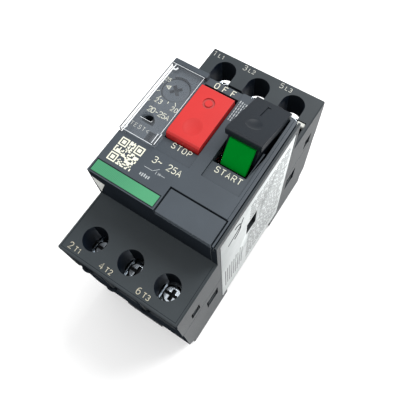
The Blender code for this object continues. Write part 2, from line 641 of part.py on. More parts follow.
def terminal(number, side, x):
    y = screw_y(side)
    plate = boxes("clamp", (x - 4.7, x + 4.7, *end_span(side, 31.2, 42.3), *CLAMP_Z))
    lips = boxes("clamp_lips", (x - 4.6, x - 3.8, *end_span(side, 31.4, 42.1), CLAMP_Z[0] + 0.5, CLAMP_Z[1] + 1.2),
                 (x + 3.8, x + 4.6, *end_span(side, 31.4, 42.1), CLAMP_Z[0] + 0.5, CLAMP_Z[1] + 1.2))
    join(plate, lips)
    cut(plate, rods("clamp_hole", SHANK_RADIUS + 0.35, 41, 45, (x, y), sides=16))
    finish(plate, f"terminal_clamp_{number}", "steel", origin=(x, y, CLAMP_Z[0]))
    low, high = SCREW_HEAD_Z
    outline = [(0, high), (SCREW_HEAD_RADIUS - 0.6, high), (SCREW_HEAD_RADIUS, high - 0.5),
               (SCREW_HEAD_RADIUS, low), (SHANK_RADIUS, low), (SHANK_RADIUS, SHANK_END_Z), (0, SHANK_END_Z)]
    screw = turned("screw", outline, (x, y), sides=24)
    slot = boxes("slot", (x - 4, x + 4, y - 0.45, y + 0.45, high - 1.2, high + 1))
    cross = boxes("cross", (x - 0.6, x + 0.6, y - 1.9, y + 1.9, high - 1.5, high + 1))
    cut(screw, join(slot, cross))
    finish(screw, f"terminal_screw_{number}", "steel", smooth=True)


def build():
    rear_base()
    main_housing()
    front_cover()
    clear_cover()
    aux_slot_cover()
    green_marker_strip()
    rating_label()
    stop_button()
    start_button()
    start_flag()
    button_pivot_pin()
    adjustment_dial()
    test_slider()
    mechanism_frame()
    latch_lever()
    contact_carrier()
    springs()
    trip_bar()
    din_clip()
    for number, x in POLES:
        line_conductor(number, x)
        fixed_contact(number, x)
        load_conductor(number, x)
        moving_contact(number, x)
        arc_chute(number, x)
        trip_coil(number, x)
        bimetal(number, x)
        terminal(number, "line", x)
        terminal(number + 3, "load", x)


build()
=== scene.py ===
"""Looks of the motor protection breaker: finishes, rounded edges, print, floor, light and camera."""
import json
import math
import random

import bmesh
import bpy
from mathutils import Matrix, Vector

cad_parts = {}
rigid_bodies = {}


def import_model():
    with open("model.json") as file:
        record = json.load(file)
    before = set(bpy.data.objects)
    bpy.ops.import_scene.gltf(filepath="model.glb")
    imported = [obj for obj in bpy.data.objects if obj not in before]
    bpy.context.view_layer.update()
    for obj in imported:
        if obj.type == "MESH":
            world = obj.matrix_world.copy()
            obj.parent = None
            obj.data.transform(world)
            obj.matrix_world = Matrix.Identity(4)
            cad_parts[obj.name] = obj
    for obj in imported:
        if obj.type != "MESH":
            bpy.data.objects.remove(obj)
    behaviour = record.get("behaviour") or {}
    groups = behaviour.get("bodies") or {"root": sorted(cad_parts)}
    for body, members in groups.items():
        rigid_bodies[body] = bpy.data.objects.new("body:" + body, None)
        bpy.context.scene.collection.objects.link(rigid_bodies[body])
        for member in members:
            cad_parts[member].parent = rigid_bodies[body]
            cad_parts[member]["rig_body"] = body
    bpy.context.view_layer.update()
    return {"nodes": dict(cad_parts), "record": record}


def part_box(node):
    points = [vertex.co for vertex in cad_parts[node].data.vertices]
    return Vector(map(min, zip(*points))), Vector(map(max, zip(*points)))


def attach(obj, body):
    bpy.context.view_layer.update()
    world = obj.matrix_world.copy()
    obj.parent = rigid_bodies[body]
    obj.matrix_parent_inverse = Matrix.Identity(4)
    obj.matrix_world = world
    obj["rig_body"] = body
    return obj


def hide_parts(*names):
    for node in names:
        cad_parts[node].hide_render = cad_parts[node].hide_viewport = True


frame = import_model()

MM = 0.001
INK = 0.03                      # print stands this far off its surface, in mm
GRAIN_DEPTH = 0.04 * MM         # depth of the moulded grain, as a bump
FIBRE_DEPTH = 0.05 * MM
BRUSH_DEPTH = 0.02 * MM

# Places on the front, in mm
POLE_X = (-13.6, 0.0, 13.6)
SCREW_Y = (36.3, 37.4)          # the load and the line screws, from the middle
LID_LOAD_Y = -22.9              # the lid's wall over the load-side plate
DIAL_AT = (-16.3, 13.7)
STOP_DISH_AT = (-3.4, 4.1)
STOP_RING_AT = (-3.8, 13.3)

# Levels read from the frame, in mm
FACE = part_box("aux_slot_cover")[1][2] / MM
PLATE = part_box("main_housing")[1][2] / MM - 15.2
PANEL = FACE - 0.8
START_PANEL = FACE - 0.9
STOP_TOP = FACE + 1.7
DIAL_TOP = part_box("adjustment_dial")[1][2] / MM
FLAP_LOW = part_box("clear_cover")[0][2] / MM
FLAP_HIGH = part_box("clear_cover")[1][2] / MM - 0.6
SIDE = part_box("rating_label")[1][0] / MM


# ---------------------------------------------------------------- materials

def node_material(name):
    made = bpy.data.materials.new(name)
    made.use_nodes = True
    nodes = made.node_tree.nodes
    return made, nodes, made.node_tree.links, nodes["Principled BSDF"]


def noise(nodes, links, coords, scale, detail=4.0):
    made = nodes.new("ShaderNodeTexNoise")
    made.inputs["Scale"].default_value = scale
    made.inputs["Detail"].default_value = detail
    links.new(coords.outputs["Object"], made.inputs["Vector"])
    return made


def shade_between(nodes, links, source, dark, light, low=0.3, high=0.7):
    ramp = nodes.new("ShaderNodeValToRGB")
    ramp.color_ramp.elements[0].position = low
    ramp.color_ramp.elements[0].color = (*dark, 1.0)
    ramp.color_ramp.elements[1].position = high
    ramp.color_ramp.elements[1].color = (*light, 1.0)
    links.new(source, ramp.inputs["Fac"])
    return ramp.outputs["Color"]


def spread(nodes, links, source, low, high):
    made = nodes.new("ShaderNodeMapRange")
    made.inputs["To Min"].default_value = low
    made.inputs["To Max"].default_value = high
    links.new(source, made.inputs["Value"])
    return made.outputs["Result"]


def add_bump(nodes, links, shader, height, strength, distance):
    bump = nodes.new("ShaderNodeBump")
    bump.inputs["Strength"].default_value = strength
    bump.inputs["Distance"].default_value = distance
    links.new(height, bump.inputs["Height"])
    links.new(bump.outputs["Normal"], shader.inputs["Normal"])


def plastic(name, colour, roughness, vary=0.10, grain=0.25, gloss=0.5):
    """Moulded plastic: fine spark-eroded grain, slow colour drift, uneven gloss."""
    made, nodes, links, shader = node_material(name)
    coords = nodes.new("ShaderNodeTexCoord")
    drift = noise(nodes, links, coords, 90.0, 3.0)
    fine = noise(nodes, links, coords, 4200.0, 2.0)
    dark = tuple(c * (1.0 - vary) for c in colour)
    light = tuple(min(1.0, c * (1.0 + vary)) for c in colour)
    links.new(shade_between(nodes, links, drift.outputs["Fac"], dark, light), shader.inputs["Base Color"])
    links.new(spread(nodes, links, fine.outputs["Fac"], roughness - 0.07, roughness + 0.07),
              shader.inputs["Roughness"])
    shader.inputs["Specular IOR Level"].default_value = gloss
    add_bump(nodes, links, shader, fine.outputs["Fac"], grain, GRAIN_DEPTH)
    return made


def metal(name, colour, roughness, brushed=0.2):
    """Plated or bare metal: cloudy colour and gloss, with faint drawing lines."""
    made, nodes, links, shader = node_material(name)
    coords = nodes.new("ShaderNodeTexCoord")
    cloud = noise(nodes, links, coords, 260.0, 3.0)
    lines = nodes.new("ShaderNodeTexWave")
    lines.inputs["Scale"].default_value = 900.0
    lines.inputs["Distortion"].default_value = 6.0
    links.new(coords.outputs["Object"], lines.inputs["Vector"])
    dark = tuple(c * 0.88 for c in colour)
    links.new(shade_between(nodes, links, cloud.outputs["Fac"], dark, colour), shader.inputs["Base Color"])
    links.new(spread(nodes, links, cloud.outputs["Fac"], roughness - 0.04, roughness + 0.05),
              shader.inputs["Roughness"])
    shader.inputs["Metallic"].default_value = 1.0
    add_bump(nodes, links, shader, lines.outputs["Fac"], brushed, BRUSH_DEPTH)
    return made


def clear_plastic(name):
    """Thin clear polycarbonate with a slow drift of tint; lamps shine through it."""
    made, nodes, links, shader = node_material(name)
    coords = nodes.new("ShaderNodeTexCoord")
    haze = noise(nodes, links, coords, 160.0, 2.0)
    tint = shade_between(nodes, links, haze.outputs["Fac"], (0.36, 0.40, 0.45), (0.48, 0.52, 0.57))
    links.new(tint, shader.inputs["Base Color"])
    shader.inputs["Roughness"].default_value = 0.08
    shader.inputs["Specular IOR Level"].default_value = 0.8
    shader.inputs["Alpha"].default_value = 0.06
    return made


def striped_green(name):
    """Printed green strip: fine dark hatching that fades out towards +X."""
    made, nodes, links, shader = node_material(name)
    coords = nodes.new("ShaderNodeTexCoord")
    lines = nodes.new("ShaderNodeTexWave")
    lines.inputs["Scale"].default_value = 700.0
    lines.inputs["Distortion"].default_value = 1.0
    links.new(coords.outputs["Object"], lines.inputs["Vector"])
    parts = nodes.new("ShaderNodeSeparateXYZ")
    links.new(coords.outputs["Object"], parts.inputs["Vector"])
    fade = nodes.new("ShaderNodeMapRange")
    fade.inputs["From Min"].default_value = -0.013
    fade.inputs["From Max"].default_value = -0.004
    fade.inputs["To Min"].default_value = 0.75
    fade.inputs["To Max"].default_value = 0.0
    links.new(parts.outputs["X"], fade.inputs["Value"])
    amount = nodes.new("ShaderNodeMath")
    amount.operation = "MULTIPLY"
    links.new(lines.outputs["Fac"], amount.inputs[0])
    links.new(fade.outputs["Result"], amount.inputs[1])
    plain, hatched = (0.034, 0.212, 0.095), (0.014, 0.120, 0.060)
    tint = shade_between(nodes, links, amount.outputs["Value"], plain, hatched, 0.0, 1.0)
    links.new(tint, shader.inputs["Base Color"])
    shader.inputs["Roughness"].default_value = 0.45
    return made


def paper(name, colour):
    """Film label: matt, with a trace of fibre and print haze."""
    made, nodes, links, shader = node_material(name)
    coords = nodes.new("ShaderNodeTexCoord")
    haze = noise(nodes, links, coords, 260.0, 5.0)
    dark = tuple(c * 0.90 for c in colour)
    links.new(shade_between(nodes, links, haze.outputs["Fac"], dark, colour), shader.inputs["Base Color"])
    shader.inputs["Roughness"].default_value = 0.55
    add_bump(nodes, links, shader, haze.outputs["Fac"], 0.08, FIBRE_DEPTH)
    return made


# The finish of each slot. For plastic: colour, roughness, drift, grain and gloss
LOOKS = {
    "casing": plastic("casing_grey", (0.022, 0.028, 0.032), 0.50, 0.10, 0.30, 0.22),
    "lid": plastic("lid_blue_grey", (0.035, 0.044, 0.054), 0.48, 0.08, 0.22, 0.28),
    "black_parts": plastic("rocker_black", (0.005, 0.008, 0.012), 0.46, 0.10, 0.18, 0.22),
    "stop_red": plastic("rocker_red", (0.41, 0.020, 0.019), 0.42, 0.05, 0.10, 0.25),
    "flag_green": plastic("flag_green", (0.000, 0.19, 0.016), 0.42, 0.10, 0.08, 0.0),
    "strip_green": striped_green("strip_green"),
    "clear_flap": clear_plastic("flap_clear"),
    "label": paper("label_white", (0.54, 0.57, 0.57)),
    "steel": metal("zinc_steel", (0.84, 0.92, 1.0), 0.12, 0.0),
    "copper": metal("bare_copper", (0.62, 0.30, 0.18), 0.34, 0.1),
    "bimetal": metal("bimetal_strip", (0.55, 0.50, 0.42), 0.36),
    "moulding": plastic("thermoset_brown", (0.18, 0.14, 0.10), 0.55, 0.12, 0.3),
}

# Finishes for single places and for print; several of them paint shade and highlights into the colour
# painted shade: a darker colour on the walls inside the screw wells
WELL_PAINTED_SHADE = plastic("well_painted_shade", (0.003, 0.009, 0.020), 0.50, 0.10, 0.0, 0.3)
# painted shade: the shaded step wall and load end, the plate's groove line and the end eyes
LOAD_SIDE_PAINTED_SHADE = plastic("load_side_painted_shade", (0.011, 0.014, 0.018), 0.8, 0.10, 0.2, 0.0)
# painted shade in the dial's ring and slot and in the screw crosses; also the dark ink of the label's curve
# and the test slider's colour
DARK_PAINTED_SHADE_AND_INK = plastic("dark_painted_shade_and_ink", (0.012, 0.014, 0.017), 0.6, 0.10, 0.1, 0.2)
PRINT = paper("print_ivory", (0.60, 0.60, 0.49))
FINE = paper("print_fine", (0.46, 0.46, 0.42))
FAINT = paper("print_faint", (0.30, 0.32, 0.33))
DULL = paper("print_dull", (0.46, 0.43, 0.33))
# painted highlight: the pale rims and knuckles of the clear flap, where its edges catch the light
RIM_PAINTED_HIGHLIGHT = plastic("flap_rim", (0.72, 0.75, 0.77), 0.25, 0.04, 0.05)
EDGE = plastic("flap_edge_grey", (0.10, 0.11, 0.12), 0.3, 0.05, 0.05)
# painted highlight: the pale block in the line-side trench and the pale triangle on the step wall
PALE_PAINTED_HIGHLIGHT = plastic("pale_painted_highlight", (0.42, 0.43, 0.40), 0.45, 0.06, 0.1)
DISH_RED = plastic("dish_red", (0.385, 0.020, 0.019), 0.55, 0.05, 0.15, 0.2)
RING_SHADE = plastic("ring_shade", (0.30, 0.022, 0.022), 0.5, 0.05, 0.1)
LABEL_INK = paper("label_ink", (0.045, 0.050, 0.055))


# ---------------------------------------------------------------- tools

SLOTS = {entry["node"]: entry["material_slot"] for entry in frame["record"]["subparts"]}
REFINED = set()                 # nodes that a refined shape stands for


def body_of(node):
    return frame["nodes"][node]["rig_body"]


def link(obj):
    bpy.context.scene.collection.objects.link(obj)
    return obj


def set_material(obj, look):
    obj.data.materials.clear()
    obj.data.materials.append(look)


def refined(node, edge, segments=2, look=None):
    """The CAD shape with its facets merged and its edges rounded by edge, in mm; it stands for the node."""
    bm = bmesh.new()
    bm.from_mesh(frame["nodes"][node].data)
    bmesh.ops.remove_doubles(bm, verts=bm.verts, dist=2e-6)
    bmesh.ops.dissolve_limit(bm, angle_limit=math.radians(0.8), verts=bm.verts, edges=bm.edges)
    mesh = bpy.data.meshes.new(node + "_body")
    bm.to_mesh(mesh)
    bm.free()
    made = link(bpy.data.objects.new(mesh.name, mesh))
    mesh.shade_smooth()
    if edge:
        bevel = made.modifiers.new("edges", "BEVEL")
        bevel.width = edge * MM
        bevel.segments = segments
        bevel.limit_method = "ANGLE"
        bevel.angle_limit = math.radians(28.0)
        bevel.use_clamp_overlap = True
        bevel.harden_normals = True
        made.modifiers.new("normals", "WEIGHTED_NORMAL").keep_sharp = True
    set_material(made, look or LOOKS[SLOTS[node]])
    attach(made, body_of(node))
    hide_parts(node)
    REFINED.add(node)
    return made


def ride_on(name, mesh, body, look):
    """A piece from a mesh, on its body and in its slot."""
    made = link(bpy.data.objects.new(name, mesh))
    set_material(made, look)
    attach(made, body)


def keep(name, bm, body, look):
    mesh = bpy.data.meshes.new(name)
    bm.to_mesh(mesh)
    bm.free()
    ride_on(name, mesh, body, look)


def block(bm, size, middle):
    """Add a box; its size and its middle are in mm."""
    shape = Matrix.Diagonal((*(length * MM for length in size), 1.0))
    bmesh.ops.create_cube(bm, size=1.0, matrix=Matrix.Translation(Vector(middle) * MM) @ shape)


def strokes(name, rects, level, look, turn=None):
    """Print on a surface of the casing that faces the front: thin boxes (x0, x1, y0, y1) in mm."""
    bm = bmesh.new()
    for x0, x1, y0, y1 in rects:
        block(bm, (x1 - x0, y1 - y0, INK), ((x0 + x1) / 2, (y0 + y1) / 2, level + INK / 2))
    if turn:
        bmesh.ops.transform(bm, matrix=turn, verts=bm.verts)
    keep(name, bm, "casing", look)


def round_line(name, radius, resolution, lines, closed=False):
    """The mesh of round lines through points given in metres."""
    curve = bpy.data.curves.new(name, "CURVE")
    curve.dimensions = "3D"
    curve.bevel_depth = radius
    curve.bevel_resolution = resolution
    curve.use_fill_caps = True
    for line in lines:
        spline = curve.splines.new("POLY")
        spline.points.add(len(line) - 1)
        for point, place in zip(spline.points, line):
            point.co = (*place, 1.0)
        spline.use_cyclic_u = closed
    drawn = link(bpy.data.objects.new(name, curve))
    bpy.context.view_layer.update()
    mesh = bpy.data.meshes.new_from_object(drawn.evaluated_get(bpy.context.evaluated_depsgraph_get()))
    bpy.data.objects.remove(drawn)
    return mesh


def tube(name, points, radius, body, look, closed=False):
    """A thin round rim through points given in mm."""
    mesh = round_line(name, radius * MM, 2, [[Vector(point) * MM for point in points]], closed)
    mesh.shade_smooth()
    ride_on(name, mesh, body, look)


def ring_of(width, height, corner):
    """A closed stroke with cut corners, as in an upright technical 0 or O."""
    x, y, c, cut = width, height, corner, corner * 0.3
    return [(0, c), (cut, cut), (c, 0), (x - c, 0), (x - cut, cut), (x, c), (x, y - c),
            (x - cut, y - cut), (x - c, y), (c, y), (cut, y - cut), (0, y - c), (0, c)]


# Plain technical characters, drawn as strokes on a field 4 wide and 6 high
BOWL = [(0, 0), (0, 6), (2.6, 6), (3.6, 5.5), (4, 4.5), (3.6, 3.4), (2.6, 2.9), (0, 2.9)]
STROKES = {
    "O": [ring_of(4, 6, 1.5)],
    "0": [ring_of(3.6, 6, 1.4)],
    "F": [[(0, 0), (0, 6), (3.6, 6)], [(0, 3.1), (3.0, 3.1)]],
    "E": [[(3.6, 0), (0, 0), (0, 6), (3.6, 6)], [(0, 3.1), (3.1, 3.1)]],
    "S": [[(0, 1.2), (0.4, 0.4), (1.2, 0), (2.8, 0), (3.7, 0.5), (4, 1.4), (3.7, 2.5), (2.8, 3.0),
           (1.2, 3.2), (0.3, 3.7), (0, 4.6), (0.4, 5.5), (1.2, 6), (2.8, 6), (3.6, 5.6), (3.9, 4.9)]],
    "T": [[(0, 6), (4, 6)], [(2, 6), (2, 0)]],
    "P": [BOWL],
    "R": [BOWL, [(2.2, 2.9), (4, 0)]],
    "A": [[(0, 0), (2, 6), (4, 0)], [(0.7, 1.9), (3.3, 1.9)]],
    "L": [[(0, 6), (0, 0), (3.4, 0)]],
    "1": [[(0.6, 4.6), (2.2, 6), (2.2, 0)]],
    "2": [[(0.1, 4.7), (0.6, 5.7), (1.6, 6), (2.6, 6), (3.6, 5.5), (3.9, 4.4), (3.4, 3.2), (0, 0), (4, 0)]],
    "3": [[(0.1, 5.2), (1.0, 6), (2.8, 6), (3.8, 5.3), (3.8, 4.0), (2.9, 3.2), (1.5, 3.2)],
          [(2.9, 3.2), (3.9, 2.4), (3.9, 1.0), (2.9, 0), (1.0, 0), (0, 0.8)]],
    "4": [[(2.9, 0), (2.9, 6), (0, 1.6), (4, 1.6)]],
    "5": [[(3.6, 6), (0.6, 6), (0.4, 3.2), (1.5, 3.7), (2.9, 3.6), (3.8, 2.7), (3.9, 1.4), (3.1, 0.2),
           (1.3, 0), (0.1, 0.7)]],
    "6": [[(3.4, 5.8), (2.0, 6), (0.8, 5.2), (0.1, 3.6), (0.1, 1.6), (0.8, 0.3), (2, 0), (3.2, 0.3),
           (3.9, 1.5), (3.8, 2.6), (3.1, 3.5), (2, 3.7), (0.8, 3.3), (0.1, 2.3)]],
    "-": [[(0.5, 2.9), (3.3, 2.9)]],
    "~": [[(0, 2.5), (0.9, 3.5), (2, 3.0), (3.1, 2.5), (4, 3.4)]],
    "<": [[(3.8, 5.4), (0.2, 3), (3.8, 0.6)]],
}


def lettering(name, words, cap, span, at, level, line=0.24, look=PRINT):
    """Stroke letters centred on a place; cap is their height and span the width of the line, in mm."""
    wide = cap * 0.62
    pitch = (span - wide) / max(1, len(words) - 1)
    lines = []
    for place, character in enumerate(words):
        left = at[0] - span / 2 + place * pitch
        for stroke in STROKES.get(character, ()):
            lines.append([((left + x / 4 * wide) * MM, (at[1] + (y / 6 - 0.5) * cap) * MM, 0.0)
                          for x, y in stroke])
    mesh = round_line(name, line / 2 * MM, 1, lines)
    flat = Matrix.Diagonal((1.0, 1.0, INK / (line / 2), 1.0))
    mesh.transform(Matrix.Translation((0, 0, level * MM)) @ flat)
    ride_on(name, mesh, "casing", look)


# ---------------------------------------------------------------- the pieces

def reach(x, y, middle):
    return math.hypot(x - middle[0], y - middle[1])


def from_screw(x, y):
    """How far a place is from the axis of the nearest terminal screw."""
    return min(reach(x, abs(y), (pole, screw)) for pole in POLE_X for screw in SCREW_Y)


def second_look(made, look, chosen):
    """Give the faces chosen by their middle and normal one more finish, mostly painted shade; places in mm.
    """
    made.data.materials.append(look)
    slot = len(made.data.materials) - 1
    for face in made.data.polygons:
        middle = made.matrix_world @ face.center
        if chosen(*(v / MM for v in middle), face.normal):
            face.material_index = slot


def in_well(x, y, z, normal):
    """On the walls inside the six screw wells, which get painted shade: a darker colour for the shade down in
    the wells.
    """
    return abs(normal.z) < 0.3 and from_screw(x, y) < 4.3 and 44.0 < z < PLATE - 0.2


def on_step_wall(x, y, z, normal):
    """On the wall between the load-side plate and the lid, and on the load end below the plate; these faces
    get painted shade.
    """
    return normal.y < -0.7 and ((z < FACE - 1.4 and y > -43.0) or (z < PLATE - 0.5 and y < -43.5))


def in_dial_ring(x, y, z, normal):
    """On the wall of the round hole that the dial stands in, which gets painted shade."""
    return abs(normal.z) < 0.5 and reach(x, y, DIAL_AT) < 5.0 and z < PANEL - 0.1


def in_screw_cross(x, y, z, normal):
    """Down in the cross of a terminal screw's head, which gets painted shade."""
    return from_screw(x, y) < 2.9 and 44.2 < z < 46.2


def in_stop_dish(x, y, z, normal):
    """In the finger hollow of the STOP rocker, which is more matt and a little darker."""
    return reach(x, y, STOP_DISH_AT) < 3.2 and normal.z > 0.5 and FACE + 1.2 < z < STOP_TOP - 0.01


def in_dial_slot(x, y, z, normal):
    """Down in the dial's cross slot, which gets painted shade."""
    return reach(x, y, DIAL_AT) < 2.4 and z < DIAL_TOP - 0.15


def cad_shapes():
    """Rounded shapes for the pieces that show, with painted shade on some of their faces; the rest keep the
    CAD mesh and get their finish.
    """
    second_look(refined("rear_base", 0.45, 3), LOAD_SIDE_PAINTED_SHADE, on_step_wall)
    housing = refined("main_housing", 0.22)
    second_look(housing, WELL_PAINTED_SHADE, in_well)
    second_look(housing, LOAD_SIDE_PAINTED_SHADE, on_step_wall)
    lid = refined("front_cover", 0.18)
    second_look(lid, DARK_PAINTED_SHADE_AND_INK, in_dial_ring)
    second_look(lid, LOAD_SIDE_PAINTED_SHADE, on_step_wall)
    refined("aux_slot_cover", 0.15)
    second_look(refined("stop_button", 0.30, 3), DISH_RED, in_stop_dish)
    refined("start_button", 0.28, 3)
    refined("start_flag", 0.12)
    refined("clear_cover", 0.22)
    second_look(refined("adjustment_dial", 0.10), DARK_PAINTED_SHADE_AND_INK, in_dial_slot)
    # the test slider is coloured all over in this dark
    refined("test_slider", 0.12, look=DARK_PAINTED_SHADE_AND_INK)
    refined("din_clip", 0.25)
    refined("rating_label", 0.0)
    refined("green_marker_strip", 0.05, 1)
    for k in range(1, 7):
        second_look(refined(f"terminal_screw_{k}", 0.12), DARK_PAINTED_SHADE_AND_INK, in_screw_cross)
        refined(f"terminal_clamp_{k}", 0.12)
    for node, obj in frame["nodes"].items():
        if node not in REFINED:
            set_material(obj, LOOKS[SLOTS[node]])


def front_print():
    """Marks of function and the dial's numbers: height, width and middle in mm, level, line."""
    lettering("mark_off", "OFF", 2.0, 7.2, (-3.1, 21.4), PANEL, 0.30)
    lettering("mark_stop", "STOP", 1.75, 6.6, (-2.7, -2.9), PANEL, 0.26)
    lettering("mark_start", "START", 1.85, 8.5, (13.2, -2.7), START_PANEL, 0.27)
    lettering("mark_test", "TEST<", 1.3, 6.6, (-17.9, -3.1), PANEL, 0.17, FINE)
    lettering("mark_range", "20-25A", 1.75, 7.6, (-15.9, 3.8), PANEL, 0.25)
    lettering("mark_23", "23", 1.45, 2.3, (-18.5, 7.5), PANEL, 0.24)
    lettering("mark_20", "20", 1.45, 2.3, (-12.5, 7.3), PANEL, 0.24)
    lettering("mark_25", "25", 1.3, 1.9, (-21.0, 16.2), FACE - 1.8, 0.22)
    lettering("mark_rating", "3~ 25A", 2.0, 9.6, (-2.9, -9.9), FACE, 0.26)


def scale_ticks():
    """Short strokes round the dial; each has an angle in degrees, a near end and a far end in mm."""
    ticks = ((215, 4.95, 6.0), (241, 4.95, 5.9), (278, 4.9, 5.7),
             (303, 4.9, 6.3), (178, 4.75, 5.3), (237, 8.6, 9.4))
    for number, (angle, near, far) in enumerate(ticks):
        turn = Matrix.Translation(Vector((*DIAL_AT, 0)) * MM) @ Matrix.Rotation(math.radians(angle), 4, "Z")
        strokes(f"scale_tick_{number + 1}", [(near, far, -0.1, 0.1)], PANEL, PRINT, turn=turn)


def dial_pointer():
    """An open triangle on the dial that points outwards."""
    bm = bmesh.new()
    corners = [Vector((-20.1, 13.7, 0)), Vector((-18.5, 14.5, 0)), Vector((-18.5, 12.9, 0))]
    middle = sum(corners, Vector()) / 3

    def rim(grow, level):
        rise = Vector((0, 0, level))
        return [bm.verts.new((middle + (corner - middle) * grow + rise) * MM) for corner in corners]

    low_out, high_out = rim(1.0, DIAL_TOP), rim(1.0, DIAL_TOP + INK)
    low_in, high_in = rim(0.52, DIAL_TOP), rim(0.52, DIAL_TOP + INK)
    for k in range(3):
        n = (k + 1) % 3
        bm.faces.new((high_out[k], high_out[n], high_in[n], high_in[k]))
        bm.faces.new((low_out[n], low_out[k], low_in[k], low_in[n]))
        bm.faces.new((low_out[k], low_out[n], high_out[n], high_out[k]))
        bm.faces.new((low_in[n], low_in[k], high_in[k], high_in[n]))
    bmesh.ops.recalc_face_normals(bm, faces=bm.faces)
    keep("dial_pointer", bm, "dial", PRINT)


def square_code():
    """A made-up block of squares in the usual layout; it encodes nothing."""
    draw = random.Random(7)
    cells, cell = 21, 0.40
    left, top = -19.7, -8.6

    def in_corner(row, column):
        return (row < 8 and (column < 8 or column > 12)) or (row > 12 and column < 8)

    def corner_mark(row, column):
        row, column = row % 14, column % 14
        edge = row in (0, 6) or column in (0, 6)
        return row < 7 and column < 7 and (edge or (1 < row < 5 and 1 < column < 5))

    rects = []
    for row in range(cells):
        for column in range(cells):
            filled = corner_mark(row, column) if in_corner(row, column) else draw.random() < 0.52
            if filled:
                x, y = left + column * cell, top - row * cell
                rects.append((x, x + cell, y - cell, y))
    strokes("square_pattern", rects, FACE, PRINT)


def circuit_symbol():
    """The general sign of a breaker: a line, an open blade and a cross."""
    rects = [(-8.6, -5.6, -13.3, -13.15), (-3.3, -1.4, -13.3, -13.15), (-4.5, -4.35, -13.7, -12.7)]
    strokes("symbol_lines", rects, FACE, FAINT)
    slanted = (("symbol_blade", 0.75, (-4.9, -12.5), 2.2),
               ("symbol_cross_a", 0.78, (-3.4, -13.2), 1.0),
               ("symbol_cross_b", -0.78, (-3.4, -13.2), 1.0))
    for name, angle, at, length in slanted:
        turn = Matrix.Translation(Vector((*at, 0)) * MM) @ Matrix.Rotation(angle, 4, "Z")
        strokes(name, [(-length / 2, length / 2, -0.08, 0.08)], FACE, FAINT, turn=turn)


def fine_print():
    """Plain strokes in place of small print: columns beside START, and a short row on the lid."""
    draw = random.Random(3)
    rects = []
    for column in range(4):
        x = 3.3 + column * 0.75
        y = 12.4
        while y < 19.4:
            length = draw.uniform(0.35, 1.2)
            rects.append((x, x + 0.3, y, y + length))
            y += length + 0.3
    strokes("small_strokes", rects, FACE, FAINT)
    word = [(-8.4 + k * 0.72, -8.0 + k * 0.72, -16.1 - 0.15 * (k % 2), -15.3 + 0.12 * (k % 3))
            for k in range(5)]
    strokes("small_word", word, FACE, FAINT)


def plate_seams():
    """The narrow dark line that runs round the load-side plate, close to its edge: painted shade standing in
    for a fine groove.
    """
    left, right, low, high = -21.4, 21.4, -43.6, -24.0
    wide = 0.13
    rects = [(left, right, low, low + wide), (left, left + wide, low, high), (right - wide, right, low, high)]
    strokes("plate_groove", rects, PLATE, LOAD_SIDE_PAINTED_SHADE)


def end_eyes():
    """Small moulded eyes on the load end, on the partitions and under the plate's edge."""
    level, half_wide, half_deep, steps = 37.6, 1.5, 0.55, 20
    turns = [k * math.tau / steps for k in range(steps)]
    for number, (x, y) in enumerate(((-17.8, -44.0), (-6.8, -44.5), (6.8, -44.5))):
        ring = [(x + half_wide * math.cos(a), y + half_deep * math.sin(a), level) for a in turns]
        # the eyes take the load side's painted shade
        tube(f"end_eye_{number + 1}", ring, 0.55, "casing", LOAD_SIDE_PAINTED_SHADE, closed=True)


def step_wall_painted_highlight():
    """A pale triangle on the left end of the wall between plate and lid: a painted highlight where light
    grazes the wall.
    """
    bm = bmesh.new()
    corners = ((-21.7, 69.6), (-17.2, 68.4), (-21.3, 58.8))
    back, front = ([bm.verts.new((x * MM, y * MM, z * MM)) for x, z in corners]
                   for y in (LID_LOAD_Y, LID_LOAD_Y - INK))
    bm.faces.new(front)
    bm.faces.new(back[::-1])
    for k in range(3):
        n = (k + 1) % 3
        bm.faces.new((back[k], back[n], front[n], front[k]))
    bmesh.ops.recalc_face_normals(bm, faces=bm.faces)
    keep("step_wall_highlight_sheet", bm, "casing", PALE_PAINTED_HIGHLIGHT)


def terminal_marks():
    """Terminal numbers, to the left of each well."""
    rows = (("load", (-18.8, -6.8, 7.1), -41.8, 2, "T", DULL),
            ("line", (-20.7, -8.1, 6.6), 42.4, 1, "L", FINE))
    for tag, starts, y, first, letter, ink in rows:
        for k, x in enumerate(starts):
            name, words = f"mark_{tag}_number_{k + 1}", str(first + 2 * k)
            lettering(name, words, 2.0, 1.25, (x, y), PLATE, 0.23, ink)
            name, words = f"mark_{tag}_letter_{k + 1}", f"{letter}{k + 1}"
            lettering(name, words, 1.5, 2.3, (x + 2.8, y - 0.2), PLATE, 0.22, ink)


def label_print():
    """Plain bars and a curve on the side label, in place of its text."""
    draw = random.Random(11)
    bm = bmesh.new()

    def bar(y0, y1, z0, z1):
        block(bm, (INK, y1 - y0, z1 - z0), (SIDE + INK / 2 - 0.01, (y0 + y1) / 2, (z0 + z1) / 2))

    for column in range(9):
        y = -19.0 + column * 1.35
        bar(y, y + 0.45, 14.0 + draw.uniform(0, 3), 38.0 - draw.uniform(0, 3))
    for row in range(26):
        z = 12.0 + row * 2.1
        y = 2.6 if 40 < z < 54 else -4.5
        while y < 17.5:
            length = draw.uniform(1.0, 4.0)
            bar(y, min(19.5, y + length), z, z + 0.75)
            y += length + draw.uniform(0.5, 0.9)
    keep("label_bars", bm, "casing", LABEL_INK)
    level = SIDE + 0.02
    arc = [(level, -13.6 + 3.4 * math.cos(a / 10), 62.5 + 4.2 * math.sin(a / 10)) for a in range(-16, 17, 2)]
    tube("label_arc", arc, 0.16, "casing", DARK_PAINTED_SHADE_AND_INK)
    bent = [(level, -17.2, 60.2), (level, -10.4, 62.4), (level, -9.0, 66.0)]
    tube("label_arc_line", bent, 0.14, "casing", DARK_PAINTED_SHADE_AND_INK)


